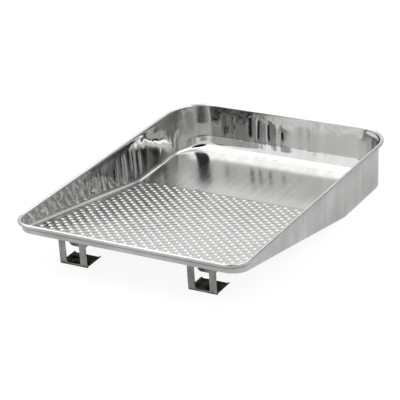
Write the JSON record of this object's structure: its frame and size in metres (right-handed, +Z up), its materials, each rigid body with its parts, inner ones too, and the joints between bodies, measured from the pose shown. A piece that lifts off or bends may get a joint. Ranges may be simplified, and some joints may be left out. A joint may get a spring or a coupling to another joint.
{
  "type": "paint roller tray",
  "caption": "Shallow drawn steel paint tray with a deep well, a dimpled ramp for rolling off paint, a rolled rim and two bent ladder legs.",
  "frame": {"origin": "on the ground, under the middle of the tray's outline", "axes": "+X to the right seen from the shallow end, +Y along the tray towards the deep end, +Z up"},
  "size_m": [0.2846, 0.3846, 0.0569],
  "materials": {
    "pan_steel": "bright drawn steel with draw marks",
    "leg_steel": "darker bent sheet steel, lightly rubbed",
    "weld_steel": "heat-darkened weld metal"
  },
  "bodies": {
    "root": {"tray_pan": "pan_steel", "left_ladder_leg": "leg_steel", "right_ladder_leg": "leg_steel", "left_leg_weld_a": "weld_steel", "left_leg_weld_b": "weld_steel", "right_leg_weld_a": "weld_steel", "right_leg_weld_b": "weld_steel"}
  },
  "joints": []
}
